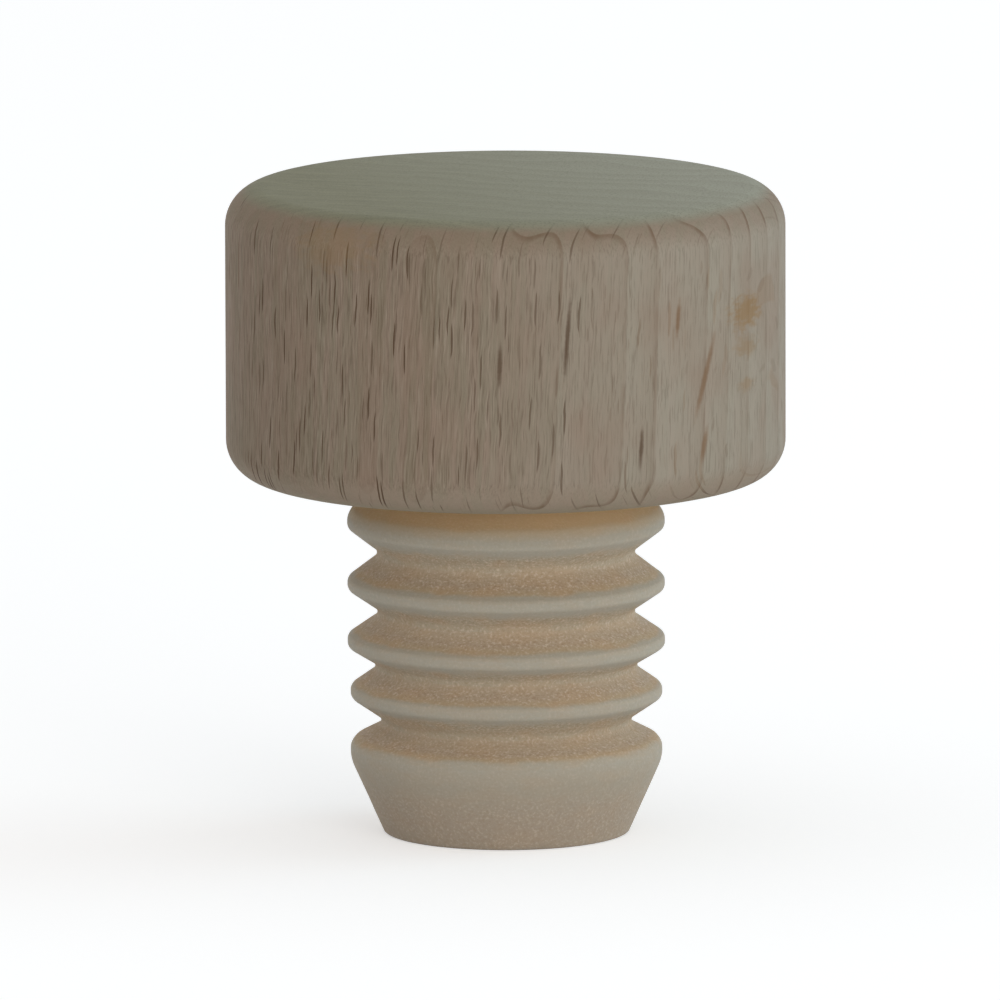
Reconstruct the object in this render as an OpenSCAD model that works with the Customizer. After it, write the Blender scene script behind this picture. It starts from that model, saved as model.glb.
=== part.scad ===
// Bar-top bottle stopper: a turned beech head glued onto a moulded, ribbed shank.
// The shank stands on its flat end at z = 0, and the axis of both pieces is Z. Millimetres.

/* [Wooden head] */
// Diameter of the turned head
head_d = 34.3; // [28:0.1:45]
// Height of the head
head_h = 18; // [15:0.1:26]
// Rounding of the head's top edge
head_top_round = 2.4; // [0.5:0.1:5]
// Rounding of the head's bottom edge
head_bottom_round = 2.4; // [0.5:0.1:5]

/* [Ribs] */
// Diameter over the three sealing ribs, which grip the bottle's mouth
rib_d = 19.5; // [18:0.1:21]
// Diameter over the two lead-in ribs near the end
lead_rib_d = 19.15; // [18:0.05:21]
// Width of the flat land on every crest
crest_land = 0.2; // [0.1:0.05:0.5]
// Rounding beside the land of an ordinary crest
crest_round = 0.35; // [0.1:0.05:0.6]
// Rounding of the lowest crest where it turns into the lead-in cone
lead_round = 2; // [0.2:0.05:2.5]
// Rounding of the lowest rib's upper side, as far as the groove above leaves room for it
lead_top_round = 0.75; // [0.2:0.05:1.5]
// Rounding of the top rib's upper side, under the head
collar_round = 1; // [0.2:0.05:1.2]

/* [Grooves] */
// Diameter of the core at the bottom of the ordinary grooves
core_d = 15.9; // [14:0.1:16.5]
// Diameter at the bottom of the groove between the two lead-in ribs
lead_groove_d = 15.5; // [14:0.1:16.5]
// Diameter at the bottom of the groove between the lead-in and the sealing ribs
step_groove_d = 16.2; // [14:0.1:16.5]
// Rounding at the bottom of every groove
root_round = 0.5; // [0.2:0.05:0.8]

/* [Spacing along the shank] */
// Height of the lowest crest above the flat end
tip_h = 5.1; // [3:0.05:8]
// Pitch from the lower to the upper lead-in rib
lead_pitch = 3.6; // [3:0.05:5]
// Pitch from the upper lead-in rib to the lowest sealing rib
step_pitch = 3.15; // [3:0.05:5]
// Pitch from the lowest to the middle sealing rib
lower_pitch = 3.55; // [3:0.05:5]
// Pitch from the middle to the top sealing rib
upper_pitch = 3.8; // [3:0.05:5]
// Height from the top crest to the head's underside
collar_drop = 2.8; // [2.6:0.05:5]
// Straight neck between the top groove and the head
neck_h = 0.5; // [0.2:0.05:0.6]

/* [Lead-in end] */
// Diameter of the lead-in cone at the flat end, before its edge is rounded
end_d = 15.2; // [12:0.1:17]
// Rounding of the end's edge
end_round = 0.2; // [0.1:0.05:1]

/* [Glued joint] */
// Diameter of the shank's spigot inside the head
spigot_d = 12; // [8:0.1:13]
// Length of the spigot
spigot_h = 9; // [5:0.1:11]
// Chamfer on the spigot's tip
spigot_chamfer = 0.8; // [0.2:0.1:1.5]
// Glue gap all round the spigot and the neck
glue_gap = 0.05; // [0.02:0.01:0.15]
// Glue space between the spigot's tip and the bore's floor
bore_relief = 0.5; // [0.1:0.1:2]
// Depth of the shallow seat in the head that takes the end of the neck
seat_h = 0.4; // [0.2:0.1:1]

/* [Hidden] */
$fn = 96;

core_r = core_d / 2;
spigot_r = spigot_d / 2;
// Crests from the lowest one up: heights above the end, then outer radii
crest_z = [
    tip_h,
    tip_h + lead_pitch,
    tip_h + lead_pitch + step_pitch,
    tip_h + lead_pitch + step_pitch + lower_pitch,
    tip_h + lead_pitch + step_pitch + lower_pitch + upper_pitch,
];
crest_r = [lead_rib_d / 2, lead_rib_d / 2, rib_d / 2, rib_d / 2, rib_d / 2];
groove_r = [lead_groove_d / 2, step_groove_d / 2, core_r, core_r];
top_rib = len(crest_z) - 1;
// Heights of the head's underside, the neck's shoulder in its seat and the spigot's tip
shank_h = crest_z[top_rib] + collar_drop;
shoulder_z = shank_h + seat_h;
spigot_top = shoulder_z + spigot_h;

// The lowest rib's upper rounding, which ends where the groove's own rounding starts
lead_upper_round = min(lead_top_round, (lead_pitch - crest_land) / 2 - root_round);

// An arc is [r, z, rounding]: its centre in the profile's plane, and its radius.
// Each crest has an arc below its land and one above it.
function lower_arc(i) =
    let (rounding = i == 0 ? lead_round : crest_round)
    [crest_r[i] - rounding, crest_z[i] - crest_land / 2, rounding];
function upper_arc(i) =
    let (rounding = i == 0 ? lead_upper_round : i == top_rib ? collar_round : crest_round)
    [crest_r[i] - rounding, crest_z[i] + crest_land / 2, rounding];

// The arc at the bottom of the groove above rib i, halfway to the next rib
function groove_arc(i) =
    [groove_r[i] + root_round, (crest_z[i] + crest_z[i + 1]) / 2, root_round];
neck_arc = [core_r + root_round, shank_h - neck_h, root_round];
end_arc = [end_d / 2 - end_round, end_round, end_round];

// How far a straight flank runs inside its arcs, so that the two cross cleanly
bite = 0.001;

// The point just inside an arc that lies in the given direction from its centre
function in(arc, angle) =
    [arc[0] + (arc[2] - bite) * cos(angle), arc[1] + (arc[2] - bite) * sin(angle)];

// Direction from a crest's arc to where a flank leaves it, to pass on to a groove's arc
// on its other side: side is 1 where the groove lies above the crest, -1 below it
function flank_angle(crest, groove, side) =
    let (reach = [groove[0] - crest[0], groove[1] - crest[1]])
    atan2(reach[1], reach[0]) - side * acos((crest[2] + groove[2] - 2 * bite) / norm(reach));

// Direction in which the lead-in cone touches both the lowest crest and the end's edge
function cone_angle(crest, edge) =
    let (reach = [edge[0] - crest[0], edge[1] - crest[1]])
    atan2(reach[1], reach[0]) + acos((crest[2] - edge[2]) / norm(reach));

// The two ends of the flank between a crest's arc and a groove's, from the crest
function flank(crest, groove, side) =
    let (angle = flank_angle(crest, groove, side))
    [in(crest, angle), in(groove, angle + 180)];

module disc(arc) {
    translate([arc[0], arc[1]])
        circle(r = arc[2]);
}

// The half of a disc that lies above its centre, where side is 1, or below it, at -1
module half_disc(arc, side) {
    far = 2 * arc[2];
    intersection() {
        disc(arc);
        translate([arc[0] - far, side > 0 ? arc[1] : arc[1] - far])
            square([2 * far, far]);
    }
}

// The shank's outline without its roundings: cone, lands, flanks, neck and spigot
module shank_outline() {
    lead_in = cone_angle(lower_arc(0), end_arc);
    collar = flank(upper_arc(top_rib), neck_arc, 1);
    polygon(concat(
        [
            [0, 0],
            [end_arc[0], 0],
            in(end_arc, lead_in),
            in(lower_arc(0), lead_in),
            [crest_r[0], lower_arc(0)[1]],
        ],
        [
            for (i = [0:top_rib - 1])
                let (
                    rising = flank(upper_arc(i), groove_arc(i), 1),
                    falling = flank(lower_arc(i + 1), groove_arc(i), -1)
                )
                each [
                    [crest_r[i], upper_arc(i)[1]],
                    rising[0],
                    rising[1],
                    falling[1],
                    falling[0],
                    [crest_r[i + 1], lower_arc(i + 1)[1]],
                ]
        ],
        [
            [crest_r[top_rib], upper_arc(top_rib)[1]],
            collar[0],
            collar[1],
            [core_r, neck_arc[1]],
            [core_r, shoulder_z],
            [spigot_r, shoulder_z],
            [spigot_r, spigot_top - spigot_chamfer],
            [spigot_r - spigot_chamfer, spigot_top],
            [0, spigot_top],
        ]
    ));
}

module shank_profile() {
    difference() {
        union() {
            shank_outline();
            disc(end_arc);
            for (i = [0:top_rib]) {
                half_disc(lower_arc(i), -1);
                half_disc(upper_arc(i), 1);
            }
        }
        for (i = [0:top_rib - 1])
            disc(groove_arc(i));
        disc(neck_arc);
    }
}

// Moulded in one piece: lead-in cone, ribs, neck and spigot
module ribbed_shank() {
    color([0.66, 0.58, 0.46])
        rotate_extrude()
            shank_profile();
}

// Half section of the solid head, with both edges rounded
module head_profile() {
    head_r = head_d / 2;
    top_arc = [head_r - head_top_round, head_h - head_top_round, head_top_round];
    bottom_arc = [head_r - head_bottom_round, head_bottom_round, head_bottom_round];
    polygon([
        [0, 0],
        [bottom_arc[0], 0],
        [head_r, bottom_arc[1]],
        [head_r, top_arc[1]],
        [top_arc[0], head_h],
        [0, head_h],
    ]);
    disc(bottom_arc);
    disc(top_arc);
}

// Half section of what is bored out of the head: the neck's seat and the spigot's bore
module bore_profile() {
    seat_r = core_r + glue_gap;
    bore_r = spigot_r + glue_gap;
    bore_floor = seat_h + spigot_h + bore_relief;
    polygon([
        [0, 0],
        [seat_r, 0],
        [seat_r, seat_h],
        [bore_r, seat_h],
        [bore_r, bore_floor],
        [0, bore_floor],
    ]);
}

// Turned from one block of beech, with a blind stepped bore for the shank
module wooden_head() {
    color([0.59, 0.52, 0.43])
        translate([0, 0, shank_h])
            rotate_extrude()
                difference() {
                    head_profile();
                    bore_profile();
                }
}

wooden_head();
ribbed_shank();
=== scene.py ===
import math

import bmesh
import bpy
from mathutils import Matrix, Vector, noise


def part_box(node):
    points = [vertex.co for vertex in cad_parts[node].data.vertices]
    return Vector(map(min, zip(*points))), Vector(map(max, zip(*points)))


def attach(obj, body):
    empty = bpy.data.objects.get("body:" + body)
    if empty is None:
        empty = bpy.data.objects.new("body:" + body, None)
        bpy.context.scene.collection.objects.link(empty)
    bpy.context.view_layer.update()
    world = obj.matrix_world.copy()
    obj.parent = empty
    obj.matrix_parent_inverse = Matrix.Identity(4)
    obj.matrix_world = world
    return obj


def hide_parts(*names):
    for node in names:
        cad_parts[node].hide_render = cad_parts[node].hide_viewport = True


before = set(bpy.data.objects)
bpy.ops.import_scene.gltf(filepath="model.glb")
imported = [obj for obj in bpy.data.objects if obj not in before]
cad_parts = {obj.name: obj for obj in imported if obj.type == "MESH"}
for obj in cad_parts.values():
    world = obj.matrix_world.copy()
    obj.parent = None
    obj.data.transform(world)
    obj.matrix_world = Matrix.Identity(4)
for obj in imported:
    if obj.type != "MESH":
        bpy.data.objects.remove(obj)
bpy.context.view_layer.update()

# Ribbed shank
# One moulding in a pale foamed elastomer, the soft part that seals the bottle's mouth.
# It has a lead-in cone, five rounded ribs, a neck, and a spigot that is glued into the head.
MM = 0.001
shank_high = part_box("ribbed_shank")[1]
head_low, head_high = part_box("wooden_head")

# Sizes in millimetres, and heights above the shank's flat end
rib_r = shank_high.x / MM
lead_rib_r = 9.575
core_r = 7.95
groove_r = [7.75, 8.1, core_r, core_r]
crest_land = 0.2
crest_round = 0.35
lead_round = 2.0
lead_top_round = 0.75
collar_round = 1.0
root_round = 0.5
end_r = 7.6
end_round = 0.2
neck_h = 0.5
spigot_r = 6.0
spigot_chamfer = 0.8
seat_h = 0.4
spigot_top = shank_high.z / MM
underside = head_low.z / MM
shoulder = underside + seat_h

# Crests from the lowest up: height, radius, then the rounding below and above the land
crests = [
    (5.1, lead_rib_r, lead_round, lead_top_round),
    (8.7, lead_rib_r, crest_round, crest_round),
    (11.85, rib_r, crest_round, crest_round),
    (15.4, rib_r, crest_round, crest_round),
    (19.2, rib_r, crest_round, collar_round),
]

# An arc is the place of its centre in the profile's plane, then its radius
lower_arcs = [(r - below, z - crest_land / 2, below) for z, r, below, above in crests]
upper_arcs = [(r - above, z + crest_land / 2, above) for z, r, below, above in crests]
groove_arcs = []
for i in range(len(crests) - 1):
    middle_z = (crests[i][0] + crests[i + 1][0]) / 2
    groove_arcs.append((groove_r[i] + root_round, middle_z, root_round))
neck_arc = (core_r + root_round, underside - neck_h, root_round)
end_arc = (end_r - end_round, end_round, end_round)


def flank_facing(crest, groove, side):
    """Direction that a flank's outside faces. Side is 1 for a groove above its crest, -1 below."""
    reach = Vector((groove[0] - crest[0], groove[1] - crest[1]))
    along = math.atan2(reach.y, reach.x)
    return along - side * math.acos((crest[2] + groove[2]) / reach.length)


def corner_between(arc, first, second):
    """Where two lines that touch an arc would meet, and how far the arc reaches from there."""
    half = (second - first) / 2
    middle = (first + second) / 2
    far = arc[2] / math.cos(half)
    point = (arc[0] + far * math.cos(middle), arc[1] + far * math.sin(middle))
    return point, abs(arc[2] * math.tan(half))


# Sharp corners of the outline, each with the length of edge that its rounding takes
lead_reach = Vector((end_arc[0] - lower_arcs[0][0], end_arc[1] - lower_arcs[0][1]))
lead_in = math.atan2(lead_reach.y, lead_reach.x)
lead_in += math.acos((lead_round - end_round) / lead_reach.length)
outline = [
    ((0, 0), 0),
    corner_between(end_arc, -math.pi / 2, lead_in),
    corner_between(lower_arcs[0], lead_in, 0),
]
for i, groove in enumerate(groove_arcs):
    rising = flank_facing(upper_arcs[i], groove, 1)
    falling = flank_facing(lower_arcs[i + 1], groove, -1)
    outline.append(corner_between(upper_arcs[i], 0, rising))
    outline.append(corner_between(groove, rising + math.pi, falling + math.pi))
    outline.append(corner_between(lower_arcs[i + 1], falling, 0))
collar = flank_facing(upper_arcs[-1], neck_arc, 1)
outline += [
    corner_between(upper_arcs[-1], 0, collar),
    corner_between(neck_arc, collar + math.pi, math.pi),
    ((core_r, shoulder), 0),
    ((spigot_r, shoulder), 0),
    ((spigot_r, spigot_top - spigot_chamfer), 0),
    ((spigot_r - spigot_chamfer, spigot_top), 0),
    ((0, spigot_top), 0),
]

bm = bmesh.new()
chain = [bm.verts.new((r * MM, 0, z * MM)) for (r, z), reach in outline]
for below, above in zip(chain, chain[1:]):
    bm.edges.new((below, above))
ARC_STEPS = 7
for vert, (corner, reach) in zip(chain, outline):
    if reach > 0:
        bmesh.ops.bevel(
            bm, geom=[vert], offset=reach * MM, offset_type="OFFSET", affect="VERTICES",
            segments=ARC_STEPS, profile=0.5, material=-1, clamp_overlap=False,
        )

# Long straight stretches are cut up, so that the surface can take the moulding's unevenness
RING_PITCH = 0.22 * MM
TURN_STEPS = 300
SAME_PLACE = 0.0001 * MM
spigot_edge = shank_high.z - spigot_chamfer * MM
for edge in list(bm.edges):
    cuts = int(edge.calc_length() / RING_PITCH)
    if cuts and max(v.co.z for v in edge.verts) < spigot_edge:
        bmesh.ops.subdivide_edges(bm, edges=[edge], cuts=cuts)
bmesh.ops.spin(
    bm, geom=bm.verts[:] + bm.edges[:], cent=(0, 0, 0), axis=(0, 0, 1), dvec=(0, 0, 0),
    angle=2 * math.pi, steps=TURN_STEPS, use_merge=True, use_normal_flip=False,
    use_duplicate=False,
)
bmesh.ops.remove_doubles(bm, verts=bm.verts, dist=SAME_PLACE)
bmesh.ops.recalc_face_normals(bm, faces=bm.faces)

# The soft surface is a little uneven, always inwards so that it keeps to its size
UNEVEN = 0.03 * MM
WAVE = 1.1 * MM
for vert in bm.verts:
    if 0 < vert.co.z < head_low.z:
        outwards = Vector((vert.co.x, vert.co.y, 0)).normalized()
        vert.co -= outwards * UNEVEN * (0.5 + 0.5 * noise.noise(vert.co / WAVE))

SHARP_EDGE = math.radians(40)


def finish_mesh(name, bm):
    """Puts a finished bmesh in a new object, smooth apart from its sharp edges."""
    for face in bm.faces:
        face.smooth = True
    for edge in bm.edges:
        edge.smooth = edge.calc_face_angle(0) < SHARP_EDGE
    mesh = bpy.data.meshes.new(name)
    bm.to_mesh(mesh)
    bm.free()
    piece = bpy.data.objects.new(name, mesh)
    bpy.context.scene.collection.objects.link(piece)
    return piece


shank = finish_mesh("shank_moulding", bm)


def tone(red, green, blue):
    """A colour given in the 0 to 255 of a screen, as the linear values that shaders take."""
    parts = [c / 255 for c in (red, green, blue)]
    linear = [c / 12.92 if c < 0.04045 else ((c + 0.055) / 1.055) ** 2.4 for c in parts]
    return (*linear, 1)


def add(tree, kind, inputs=None, **settings):
    """A shader node. Each input takes a plain value or another node's output."""
    made = tree.nodes.new("ShaderNode" + kind)
    for name, value in settings.items():
        setattr(made, name, value)
    for name, value in (inputs or {}).items():
        if isinstance(value, bpy.types.NodeSocket):
            tree.links.new(value, made.inputs[name])
        else:
            made.inputs[name].default_value = value
    return made


def new_material(name):
    """An empty material, and the tree to fill."""
    material = bpy.data.materials.new(name)
    material.use_nodes = True
    material.node_tree.nodes.clear()
    return material, material.node_tree


def maths(tree, operation, first, second=0.0, third=0.0):
    """One step of arithmetic on values."""
    inputs = {0: first, 1: second, 2: third}
    return add(tree, "Math", inputs, operation=operation).outputs[0]


def vector_maths(tree, operation, first, second):
    """One step of arithmetic on vectors, whose result is a vector."""
    return add(tree, "VectorMath", {0: first, 1: second}, operation=operation).outputs[0]


def length(tree, vector):
    """The length of a vector."""
    return add(tree, "VectorMath", {0: vector}, operation="LENGTH").outputs["Value"]


def parts_of(tree, vector):
    """The three parts of a vector, by their letters."""
    return add(tree, "SeparateXYZ", {0: vector}).outputs


def span(tree, value, low, high, to_low=0.0, to_high=1.0, smooth=True):
    """Maps low..high to to_low..to_high, level outside."""
    inputs = {"Value": value, "From Min": low, "From Max": high}
    inputs.update({"To Min": to_low, "To Max": to_high})
    kind = "SMOOTHSTEP" if smooth else "LINEAR"
    return add(tree, "MapRange", inputs, interpolation_type=kind).outputs[0]


def blend(tree, factor, first, second):
    """Mixes two colours."""
    return add(tree, "Mix", {"Factor": factor, 6: first, 7: second}, data_type="RGBA").outputs[2]


def in_millimetres(tree, tilt=0.0, turn=0.0, shift=(0, 0, 0)):
    """The place on a piece in millimetres, leant to the right, turned about Z and shifted."""
    inputs = {
        "Vector": add(tree, "TexCoord").outputs["Object"],
        "Location": shift,
        "Rotation": (0, -tilt, turn),
        "Scale": (1 / MM, 1 / MM, 1 / MM),
    }
    return add(tree, "Mapping", inputs).outputs[0]


# Grain, which both materials use: soft noise from 0 to 1, in lumps of the three lengths given
soft_grain = bpy.data.node_groups.new("soft_grain", "ShaderNodeTree")
group_inputs = (
    ("Place", "NodeSocketVector"),
    ("Lump", "NodeSocketVector"),
    ("Detail", "NodeSocketFloat"),
    ("Roughness", "NodeSocketFloat"),
)
for socket, socket_kind in group_inputs:
    soft_grain.interface.new_socket(name=socket, in_out="INPUT", socket_type=socket_kind)
soft_grain.interface.new_socket(name="Grain", in_out="OUTPUT", socket_type="NodeSocketFloat")
given = soft_grain.nodes.new("NodeGroupInput").outputs
lumpy = add(soft_grain, "TexNoise", {
    "Vector": vector_maths(soft_grain, "DIVIDE", given["Place"], given["Lump"]),
    "Scale": 1.0, "Detail": given["Detail"], "Roughness": given["Roughness"],
}).outputs["Fac"]
soft_grain.links.new(lumpy, soft_grain.nodes.new("NodeGroupOutput").inputs["Grain"])


def grain(tree, place, lump, detail=2.0, roughness=0.5):
    """Places the soft grain in a material, with lumps of three lengths in millimetres."""
    inputs = {"Place": place, "Lump": lump, "Detail": detail, "Roughness": roughness}
    return add(tree, "Group", inputs, node_tree=soft_grain).outputs["Grain"]


# Elastomer: pale and smooth from each crest down, where light thrown up from the table is painted,
# and warm and speckled on the sides that face up, where shade under the head is painted.
# Heights and radii are in millimetres, and upward is 1 where the surface faces straight up.
CONE_FOOT = tone(175, 161, 144)
CONE_TOP = tone(176, 167, 151)
CREST = tone(175, 169, 155)
FLANK_UNDER = tone(180, 169, 149)
FLANK_OVER = tone(185, 166, 144)
FLANK_RIM = tone(184, 163, 134)
WARM_BLOTCH = tone(192, 162, 130)
elastomer, tree = new_material("foamed_elastomer")
place = in_millimetres(tree)
height = parts_of(tree, place)["Z"]
radius = length(tree, vector_maths(tree, "MULTIPLY", place, (1, 1, 0)))
upward = parts_of(tree, add(tree, "NewGeometry").outputs["True Normal"])["Z"]

# The borders of the pale bands wander a little
wander = span(tree, grain(tree, place, (2.6, 2.6, 1.1)), 0.3, 0.7, -0.12, 0.12, smooth=False)
outward = maths(tree, "ADD", radius, wander)
turned_down = span(tree, maths(tree, "ADD", upward, wander), 0.75, 0.1)
on_cone = span(tree, height, 5.4, 4.6)
# Painted light: pale bands on the crests, the sides below them and the lead-in cone, for light
# from the table below, with a painted highlight on each crest tip
pale = maths(tree, "MAXIMUM", span(tree, outward, 8.5, 9.4), on_cone)
pale = maths(tree, "MULTIPLY", pale, turned_down)
pale = maths(tree, "MAXIMUM", pale, span(tree, outward, 9.15, 9.5, 0.0, 0.9))
painted_light_colour = blend(tree, span(tree, height, 1.5, 4.6), CONE_FOOT, CONE_TOP)
painted_light_colour = blend(tree, on_cone, CREST, painted_light_colour)
# Painted shade: the sides that face up are warmer, most near the rim, for the shade under the head
# and the warm light it throws back
facing_up = span(tree, upward, -0.1, 0.45)
near_rim = span(tree, radius, 8.6, 9.2)
flank_colour = blend(tree, facing_up, FLANK_UNDER, FLANK_OVER)
flank_colour = blend(tree, maths(tree, "MULTIPLY", facing_up, near_rim), flank_colour, FLANK_RIM)
colour = blend(tree, pale, flank_colour, painted_light_colour)
blotch = span(tree, grain(tree, place, (2.2, 2.2, 1.0), 1.0), 0.42, 0.68)
blotch = maths(tree, "MULTIPLY", blotch, maths(tree, "MULTIPLY_ADD", pale, -0.35, 0.45))
colour = blend(tree, blotch, colour, WARM_BLOTCH)

# Foam cells: fine light and dark grains, clearest on the sides that face up
CELL_SIZE = (0.17, 0.17, 0.17)
LIGHT_CELL = tone(218, 204, 186)
DARK_CELL = tone(150, 124, 95)
CELL_SHADE = tone(158, 134, 106)
cells = grain(tree, place, CELL_SIZE, 1.0, 0.7)
coarse = grain(tree, place, (0.5, 0.5, 0.22), 2.0, 0.6)
shown = maths(tree, "MULTIPLY_ADD", pale, -0.6, 1.0)
shown = maths(tree, "MULTIPLY", shown, maths(tree, "MULTIPLY_ADD", near_rim, -0.5, 1.0))
light = maths(tree, "MULTIPLY", span(tree, cells, 0.54, 0.7), shown)
colour = blend(tree, maths(tree, "MULTIPLY", light, 0.72), colour, LIGHT_CELL)
dark = maths(tree, "MULTIPLY", span(tree, cells, 0.46, 0.3), shown)
colour = blend(tree, maths(tree, "MULTIPLY", dark, 0.42), colour, DARK_CELL)
shade = maths(tree, "MULTIPLY", span(tree, coarse, 0.52, 0.38), shown)
colour = blend(tree, maths(tree, "MULTIPLY", shade, 0.22), colour, CELL_SHADE)

# Painted shade and light: a little darker towards the end, against the light thrown up from the
# table there, and paler down in the grooves and under the head, against the shade that falls there
TIP_PAINTED_SHADE = tone(128, 110, 90)
GROOVE_PAINTED_LIGHT = tone(200, 182, 156)
UNDER_HEAD_PAINTED_LIGHT = tone(232, 198, 152)
colour = blend(tree, span(tree, height, 18.0, 5.5, 0.0, 0.05), colour, TIP_PAINTED_SHADE)
groove_painted_light = span(tree, radius, 8.7, 8.1, 0.0, 0.3)
groove_painted_light = maths(tree, "MULTIPLY", groove_painted_light, span(tree, height, 5.0, 6.0))
colour = blend(tree, groove_painted_light, colour, GROOVE_PAINTED_LIGHT)
colour = blend(tree, span(tree, height, 19.3, 20.8, 0.0, 0.85), colour, UNDER_HEAD_PAINTED_LIGHT)
relief = maths(tree, "MULTIPLY_ADD", coarse, 0.6, cells)
bump = add(tree, "Bump", {"Strength": 0.35, "Distance": 0.04 * MM, "Height": relief})
skin = add(tree, "BsdfPrincipled", {
    "Base Color": colour,
    "Roughness": span(tree, cells, 0.3, 0.7, 0.8, 0.68),
    "Normal": bump.outputs[0],
    "Subsurface Weight": 0.4, "Subsurface Radius": (1.0, 0.8, 0.6), "Subsurface Scale": 1.4 * MM,
    "IOR": 1.45, "Specular IOR Level": 0.2,
})
add(tree, "OutputMaterial", {"Surface": skin.outputs[0]})
shank.data.materials.append(elastomer)
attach(shank, "root")
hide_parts("ribbed_shank")

# Wooden head
# A disc turned from one block of beech, with both edges rounded and the faces sanded flat.
# The grain runs along the axis. A stepped bore in its underside takes the glued spigot.
head_r = head_high.x
head_h = head_high.z - head_low.z
head_middle = (head_low.z + head_high.z) / 2
edge_round = 2.4 * MM
glue_gap = 0.05 * MM
bore_relief = 0.5 * MM
seat_r = core_r * MM + glue_gap
bore_r = spigot_r * MM + glue_gap
bore_floor = spigot_top * MM + bore_relief
HEAD_SIDES = 360
EDGE_STEPS = 16

bm = bmesh.new()
bmesh.ops.create_cone(
    bm, cap_ends=True, segments=HEAD_SIDES, radius1=head_r, radius2=head_r, depth=head_h,
)
bmesh.ops.translate(bm, verts=bm.verts, vec=(0, 0, head_middle))
rims = [e for e in bm.edges if abs(e.verts[0].co.z - e.verts[1].co.z) < SAME_PLACE]
bmesh.ops.bevel(
    bm, geom=rims, offset=edge_round, offset_type="OFFSET", affect="EDGES",
    segments=EDGE_STEPS, profile=0.5, material=-1, clamp_overlap=False,
)


def cap_at(bm, z):
    """The one large face that lies level at a height."""
    level = [f for f in bm.faces if abs(f.calc_center_median().z - z) < SAME_PLACE]
    return max(level, key=lambda f: f.calc_area())


def step_in(bm, face, radius):
    """Insets a round face to a smaller radius and returns the inner face."""
    now = face.verts[0].co.xy.length
    bmesh.ops.inset_region(bm, faces=[face], thickness=now - radius, use_even_offset=True)
    return face


step_in(bm, cap_at(bm, head_high.z), head_r - 2 * edge_round)
sunk = step_in(bm, cap_at(bm, head_low.z), seat_r)
for floor_z, next_r in ((head_low.z + seat_h * MM, bore_r), (bore_floor, None)):
    sunk = bmesh.ops.extrude_discrete_faces(bm, faces=[sunk])["faces"][0]
    bmesh.ops.translate(bm, verts=sunk.verts, vec=(0, 0, floor_z - sunk.verts[0].co.z))
    if next_r:
        sunk = step_in(bm, sunk, next_r)
bmesh.ops.remove_doubles(bm, verts=bm.verts, dist=SAME_PLACE)
bmesh.ops.recalc_face_normals(bm, faces=bm.faces)
head = finish_mesh("beech_head", bm)


def dot(tree, first, second):
    """How far one vector goes along another."""
    inputs = {0: first, 1: second}
    return add(tree, "VectorMath", inputs, operation="DOT_PRODUCT").outputs["Value"]


# Beech, in the wood's own directions: X along the growth rings, Y from the pith to the bark and
# Z along the grain. Sideways is 1 or -1 where the surface runs along the rays, 0 across them.
GRAIN_TURN = math.radians(22)
GRAIN_LEAN = math.radians(2.5)
along_rings = (math.cos(GRAIN_TURN), -math.sin(GRAIN_TURN), 0)
drift = math.sin(GRAIN_LEAN) * head_middle / MM
shift = (drift * math.cos(GRAIN_TURN), drift * math.sin(GRAIN_TURN), 0)
beech, tree = new_material("turned_beech")
place = in_millimetres(tree, GRAIN_LEAN, GRAIN_TURN, shift)
axes = parts_of(tree, place)
facing = add(tree, "NewGeometry").outputs["Normal"]
upward = parts_of(tree, facing)["Z"]
endward = maths(tree, "ABSOLUTE", upward)
rounded = span(tree, endward, 0.05, 0.6)
sideways = dot(tree, facing, along_rings)

# A little unevenness, so that no line of the figure runs dead straight
waver = grain(tree, place, (1.6, 4.0, 2.2))
sway = maths(tree, "MULTIPLY_ADD", waver, 0.3, axes["X"])
swayed = add(tree, "CombineXYZ", {"X": sway, "Y": axes["Y"], "Z": axes["Z"]}).outputs[0]

# Fibres: fine streaks up the side, with faint changes of tint from stripe to stripe. They are
# fainter on the rounded edges, and on the right, where the side runs along the rays and is made
# paler and greyer.
STRIPE_PINK = tone(145, 128, 112)
STRIPE_OLIVE = tone(138, 126, 108)
QUARTERED = tone(163, 156, 142)
DARK_FIBRE = tone(108, 94, 79)
LIGHT_FIBRE = tone(166, 152, 136)
ROSY_CLOUD = tone(148, 126, 110)
fibre = grain(tree, swayed, (0.1, 0.1, 2.4), 2.0, 0.7)
stripe = grain(tree, swayed, (0.5, 1.1, 9.0), 2.0, 0.6)
cloud = grain(tree, place, (4.0, 4.0, 6.0))
colour = blend(tree, span(tree, stripe, 0.36, 0.64), STRIPE_PINK, STRIPE_OLIVE)
fading = maths(tree, "MULTIPLY_ADD", rounded, -0.6, 1.0)
quartered = maths(tree, "MULTIPLY", span(tree, sideways, 0.1, 0.95, 0.0, 0.75), fading)
colour = blend(tree, quartered, colour, QUARTERED)
fading = maths(tree, "MULTIPLY", fading, maths(tree, "MULTIPLY_ADD", quartered, -0.45, 1.0))
dark_fibre = maths(tree, "MULTIPLY", span(tree, fibre, 0.5, 0.32, 0.0, 0.58), fading)
colour = blend(tree, dark_fibre, colour, DARK_FIBRE)
light_fibre = maths(tree, "MULTIPLY", span(tree, fibre, 0.52, 0.7, 0.0, 0.52), fading)
colour = blend(tree, light_fibre, colour, LIGHT_FIBRE)
colour = blend(tree, span(tree, cloud, 0.45, 0.75, 0.0, 0.4), colour, ROSY_CLOUD)

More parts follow.
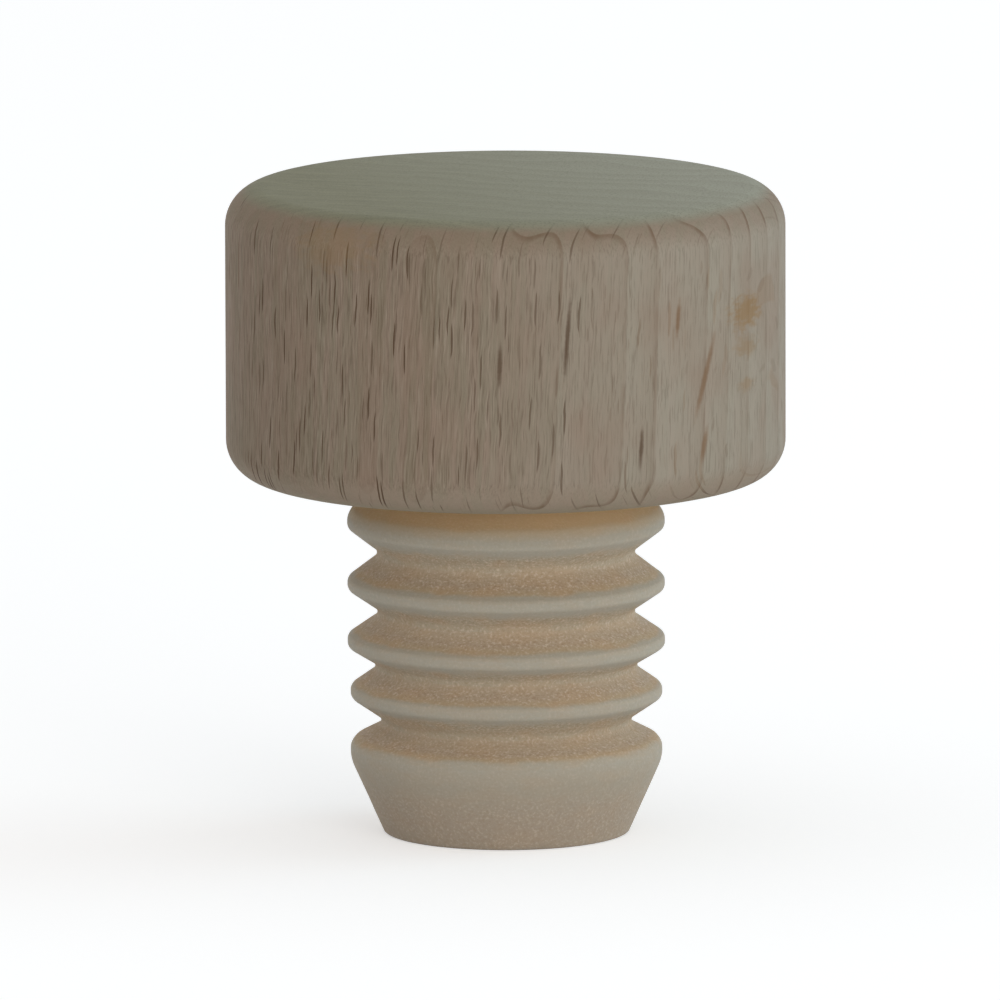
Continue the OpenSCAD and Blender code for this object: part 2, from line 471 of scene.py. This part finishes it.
# Growth rings: wavy sheets, whose thin dark line shows as streaks on the side and as loops on
# the rounded edges. Lengths are in millimetres.
RING_WIDTH = 2.5
RING_START = 1.95
WAVE_LENGTH = 3.5
WAVE_START = -5.4
WAVE_HEIGHT = 0.5
WAVE_DRIFT = 2.0
RUFFLE = 0.25
LATE_WOOD = tone(124, 102, 82)
UPPER_EDGE_FINISH_AND_SHADE = tone(130, 115, 95)
LOWER_EDGE_PAINTED_LIGHT = tone(166, 152, 134)
RING_LINE = tone(110, 86, 67)
phase = grain(tree, place, (7.0, 5.0, 60.0), 0.0)
angle = maths(tree, "MULTIPLY_ADD", phase, WAVE_DRIFT, WAVE_START)
angle = maths(tree, "MULTIPLY_ADD", axes["X"], 2 * math.pi / WAVE_LENGTH, angle)
wavy = maths(tree, "MULTIPLY_ADD", maths(tree, "SINE", angle), WAVE_HEIGHT, axes["Y"])
ruffle = maths(tree, "SUBTRACT", grain(tree, place, (1.1, 3.0, 5.0), 0.0), 0.5)
wavy = maths(tree, "MULTIPLY_ADD", ruffle, RUFFLE, wavy)
ring = maths(tree, "DIVIDE", maths(tree, "ADD", wavy, RING_START), RING_WIDTH)
ring = maths(tree, "FRACT", ring)
late = maths(tree, "MULTIPLY", span(tree, ring, 0.1, 0.95), span(tree, ring, 1.0, 0.97))
colour = blend(tree, maths(tree, "MULTIPLY", late, 0.16), colour, LATE_WOOD)
# The upper rounded edge is darker and warmer, partly the end fibres taking up more finish and
# partly painted shade, least on the right towards the lamps; the lower rounded edge is painted
# lighter, for light thrown up from the table
upper_edge_finish_and_shade = span(tree, upward, 0.1, 0.7, 0.0, 0.32)
upper_edge_finish_and_shade = maths(tree, "MULTIPLY", upper_edge_finish_and_shade, span(tree, sideways, 0.3, 0.8, 1.0, 0.25))
colour = blend(tree, upper_edge_finish_and_shade, colour, UPPER_EDGE_FINISH_AND_SHADE)
colour = blend(tree, span(tree, upward, -0.05, -0.6, 0.0, 0.35), colour, LOWER_EDGE_PAINTED_LIGHT)
line = maths(tree, "MULTIPLY", span(tree, ring, 0.82, 0.95), span(tree, ring, 1.0, 0.96))
patchy = span(tree, grain(tree, swayed, (0.9, 1.2, 2.6), 1.0), 0.4, 0.62)
showing = maths(tree, "MULTIPLY_ADD", rounded, 0.42, 0.02)
showing = maths(tree, "MULTIPLY_ADD", patchy, 0.26, showing)
showing = maths(tree, "MULTIPLY", showing, span(tree, sideways, 0.0, 0.25, 0.1, 1.0))
colour = blend(tree, maths(tree, "MULTIPLY", line, showing), colour, RING_LINE)

# Rays: thin sheets, each of its own darkness, cut as dark spindles on the front and as broad
# flecks on the right
RAY_SOFT = 0.72
PALEST_RAY = 0.4
SPINDLE = tone(90, 71, 55)
BROAD_FLECK = tone(136, 108, 79)
SMALL_RAY = tone(110, 90, 72)


def rays(tree, place, spacing, edge, strength):
    """A mask of rays, spaced in millimetres along the rings, from pith to bark and upwards."""
    spaced = vector_maths(tree, "DIVIDE", place, spacing)
    sheets = add(tree, "TexVoronoi", {"Vector": spaced, "Scale": 1.0}).outputs
    body = span(tree, sheets["Distance"], edge, edge * RAY_SOFT)
    own = parts_of(tree, sheets["Color"])["X"]
    darkness = span(tree, own, 0.0, 0.8, PALEST_RAY * strength, strength)
    return maths(tree, "MULTIPLY", body, darkness)


ray = rays(tree, swayed, (0.26, 22.0, 5.0), 0.25, 0.95)
small_ray = rays(tree, swayed, (0.2, 14.0, 2.6), 0.2, 0.45)
broad = span(tree, maths(tree, "ABSOLUTE", sideways), 0.6, 0.94)
ray = maths(tree, "MULTIPLY", ray, maths(tree, "MULTIPLY_ADD", broad, -0.6, 1.0))
softer = span(tree, sideways, 0.0, 0.4, 1.0, 0.65)
ray = maths(tree, "MULTIPLY", ray, softer)
small_ray = maths(tree, "MULTIPLY", small_ray, softer)
colour = blend(tree, small_ray, colour, SMALL_RAY)
colour = blend(tree, ray, colour, blend(tree, broad, SPINDLE, BROAD_FLECK))

# Marks of this one block: broad flecks one above another on the right, where the lathe cut along
# a ray, with slanting streaks beside them, dark streaks on the front, and a stain on the upper
# edge at the left. Each has the bearing from the front and the height of its middle, half its
# width and half its height, its slant, its raggedness, its strength and its colour.
FLECK = tone(144, 116, 80)
STREAK = tone(126, 99, 74)
DARK_STREAK = tone(90, 71, 55)
MARK_DEPTH = 5
marks = (
    (59, 33.5, 2.4, 1.3, 0.0, 1.4, 0.75, FLECK),
    (59, 31.4, 1.7, 0.9, 0.0, 1.4, 0.45, FLECK),
    (59, 29.0, 1.3, 0.6, 0.0, 1.4, 0.4, FLECK),
    (-38, 38.2, 3.6, 1.9, 0.0, 1.4, 0.35, FLECK),
    (37.6, 33.7, 0.24, 1.5, 0.1, 0.4, 0.8, STREAK),
    (45.0, 30.0, 0.34, 3.3, 0.33, 0.4, 0.75, STREAK),
    (44.7, 25.8, 0.34, 1.4, 0.2, 0.4, 0.75, STREAK),
    (12.6, 33.1, 0.2, 3.3, 0.08, 0.4, 0.8, DARK_STREAK),
    (28.6, 26.0, 0.2, 1.7, 0.06, 0.4, 0.8, DARK_STREAK),
    (-1.2, 31.5, 0.2, 1.8, 0.03, 0.4, 0.8, DARK_STREAK),
)
upright = in_millimetres(tree)
ragged = maths(tree, "SUBTRACT", grain(tree, upright, (0.7, 0.7, 0.35), 2.0, 0.6), 0.5)
for bearing, z, wide, tall, slant, raggedness, strength, mark_colour in marks:
    turned = math.radians(bearing)
    outwards = Vector((math.sin(turned), -math.cos(turned), 0))
    centre = outwards * (head_r / MM) + Vector((0, 0, z))
    offset = vector_maths(tree, "SUBTRACT", upright, centre)
    across = dot(tree, offset, (-outwards.y / wide, outwards.x / wide, -slant / wide))
    deep = dot(tree, offset, outwards / MARK_DEPTH)
    up = dot(tree, offset, (0, 0, 1 / tall))
    reach = length(tree, add(tree, "CombineXYZ", {0: across, 1: deep, 2: up}).outputs[0])
    reach = maths(tree, "MULTIPLY_ADD", ragged, raggedness, reach)
    colour = blend(tree, span(tree, reach, 1.05, 0.25, 0.0, strength), colour, mark_colour)

# End grain on the flat faces: greyer, with faint bands of rings and fine pores, and painted light
# that makes them lighter towards the right rear. The underside is warmer.
END_LIGHT = tone(137, 136, 113)
END_DARK = tone(127, 126, 105)
END_PAINTED_LIGHT = tone(158, 159, 144)
END_RING = tone(112, 109, 91)
PORE = tone(104, 102, 86)
UNDERSIDE = tone(150, 138, 118)
PAINTED_LIGHT_WAY = (0.8, 0.6, 0)
RING_BOW = 4.0
end_streak = grain(tree, place, (3.5, 0.4, 5.0), 3.0, 0.6)
end_colour = blend(tree, span(tree, end_streak, 0.3, 0.7), END_LIGHT, END_DARK)
# Painted light: the flat faces grow lighter towards the right rear, where the lamps are
lighter = span(tree, dot(tree, place, PAINTED_LIGHT_WAY), -11.0, 13.0, smooth=False)
end_colour = blend(tree, lighter, end_colour, END_PAINTED_LIGHT)
bowed = maths(tree, "MULTIPLY_ADD", phase, RING_BOW, axes["Y"])
end_ring = maths(tree, "FRACT", maths(tree, "DIVIDE", bowed, RING_WIDTH))
end_ring = maths(tree, "MULTIPLY", span(tree, end_ring, 0.1, 0.9), 0.14)
end_colour = blend(tree, end_ring, end_colour, END_RING)
pores = grain(tree, place, (0.13, 0.13, 0.13), 1.0, 0.6)
end_colour = blend(tree, span(tree, pores, 0.5, 0.3, 0.0, 0.4), end_colour, PORE)
end_colour = blend(tree, span(tree, upward, -0.5, 0.5), UNDERSIDE, end_colour)
colour = blend(tree, span(tree, endward, 0.72, 0.98), colour, end_colour)
pits = maths(tree, "MULTIPLY_ADD", ray, -0.8, maths(tree, "MULTIPLY", fibre, 0.35))
bump = add(tree, "Bump", {"Strength": 0.4, "Distance": 0.06 * MM, "Height": pits})
wood = add(tree, "BsdfPrincipled", {
    "Base Color": colour,
    "Roughness": span(tree, fibre, 0.3, 0.7, 0.72, 0.58),
    "Normal": bump.outputs[0],
    "IOR": 1.45, "Specular IOR Level": 0.1,
})
add(tree, "OutputMaterial", {"Surface": wood.outputs[0]})
head.data.materials.append(beech)
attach(head, "root")
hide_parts("wooden_head")

# Table
# A plain white table top, wide enough that no edge shows, on which the stopper stands.
# It is seen as white, and keeps the soft shadow round the stopper's foot.
TABLE_REACH = 3.0
TABLE_DROP = 0.01 * MM
WHITE = (1, 1, 1, 1)
PAINT = (0.84, 0.84, 0.84, 1)
PAINT_GLOW = 0.42


def seen_straight(tree):
    """1 along rays that show a surface as it is seen, 0 along those that only light others."""
    rays_of = add(tree, "LightPath").outputs
    straight = maths(tree, "MAXIMUM", rays_of["Is Camera Ray"], rays_of["Is Glossy Ray"])
    return maths(tree, "MAXIMUM", straight, rays_of["Is Transmission Ray"])


bm = bmesh.new()
bmesh.ops.create_grid(bm, x_segments=1, y_segments=1, size=TABLE_REACH)
bmesh.ops.translate(bm, verts=bm.verts, vec=(0, 0, -TABLE_DROP))
table = finish_mesh("table_top", bm)
table_white, tree = new_material("white_table")
paint = add(tree, "BsdfDiffuse", {"Color": PAINT}).outputs[0]
glow = maths(tree, "MULTIPLY", seen_straight(tree), PAINT_GLOW)
glow = add(tree, "Emission", {"Color": WHITE, "Strength": glow}).outputs[0]
surface = add(tree, "AddShader", {0: paint, 1: glow}).outputs[0]

# Seen from below it is clear, so that it doesn't hide the stopper's underside
nothing = add(tree, "BsdfTransparent").outputs[0]
from_below = add(tree, "NewGeometry").outputs["Backfacing"]
by_camera = add(tree, "LightPath").outputs["Is Camera Ray"]
hidden = maths(tree, "MULTIPLY", from_below, by_camera)
surface = add(tree, "MixShader", {0: hidden, 1: surface, 2: nothing}).outputs[0]
add(tree, "OutputMaterial", {"Surface": surface})
table.data.materials.append(table_white)

# Light
# The even light of a white room, seen as white, a soft lamp to the right of the front, and a
# smaller, cooler one on the right, a little behind.
ROOM_LIGHT = 0.61
ROOM_SEEN = 1.0
world = bpy.data.worlds.new("white_room")
world.use_nodes = True
bpy.context.scene.world = world
tree = world.node_tree
tree.nodes.clear()
strength = span(tree, seen_straight(tree), 0, 1, ROOM_LIGHT, ROOM_SEEN)
sky = add(tree, "Background", {"Color": WHITE, "Strength": strength})
add(tree, "OutputWorld", {"Surface": sky.outputs[0]})
LAMP_AIM = Vector((0, 0, 20 * MM))


def soft_lamp(name, azimuth, elevation, distance, size, watts, colour):
    """A square lamp that faces the stopper. Azimuth 0 is the camera's side, 90 its right."""
    data = bpy.data.lights.new(name, "AREA")
    data.size = size
    data.energy = watts
    data.color = colour
    lamp = bpy.data.objects.new(name, data)
    a, e = math.radians(azimuth), math.radians(elevation)
    way = Vector((math.sin(a) * math.cos(e), -math.cos(a) * math.cos(e), math.sin(e)))
    lamp.location = LAMP_AIM + way * distance
    lamp.rotation_euler = way.to_track_quat("Z", "Y").to_euler()
    bpy.context.scene.collection.objects.link(lamp)


soft_lamp("front_lamp", azimuth=26, elevation=3, distance=1.2, size=0.7, watts=6.4,
          colour=(1.0, 0.97, 0.92))
soft_lamp("side_lamp", azimuth=105, elevation=24, distance=0.8, size=0.5, watts=1.2,
          colour=(0.6, 0.85, 1.0))

# Camera
# Far off with a long lens, a little above the stopper and turned by a touch. The picture takes
# in the width seen at the stopper's axis.
CAMERA_DISTANCE = 1.5
CAMERA_RISE = math.radians(9.0)
CAMERA_ROLL = math.radians(-0.15)
CAMERA_AIM = Vector((-0.365, 0, 20.5)) * MM
WIDTH_SEEN = 61.3 * MM
SENSOR_WIDTH = 36
camera_data = bpy.data.cameras.new("camera")
camera_data.sensor_width = SENSOR_WIDTH
camera_data.lens = SENSOR_WIDTH * CAMERA_DISTANCE / WIDTH_SEEN
camera_data.clip_start = 0.05
camera_data.clip_end = 20
camera = bpy.data.objects.new("camera", camera_data)
back = Vector((0, -math.cos(CAMERA_RISE), math.sin(CAMERA_RISE)))
camera.location = CAMERA_AIM + back * CAMERA_DISTANCE
turn = back.to_track_quat("Z", "Y").to_matrix().to_4x4()
camera.rotation_euler = (turn @ Matrix.Rotation(CAMERA_ROLL, 4, "Z")).to_euler()
bpy.context.scene.collection.objects.link(camera)
bpy.context.scene.camera = camera

view = bpy.context.scene.view_settings
view.view_transform = "Standard"
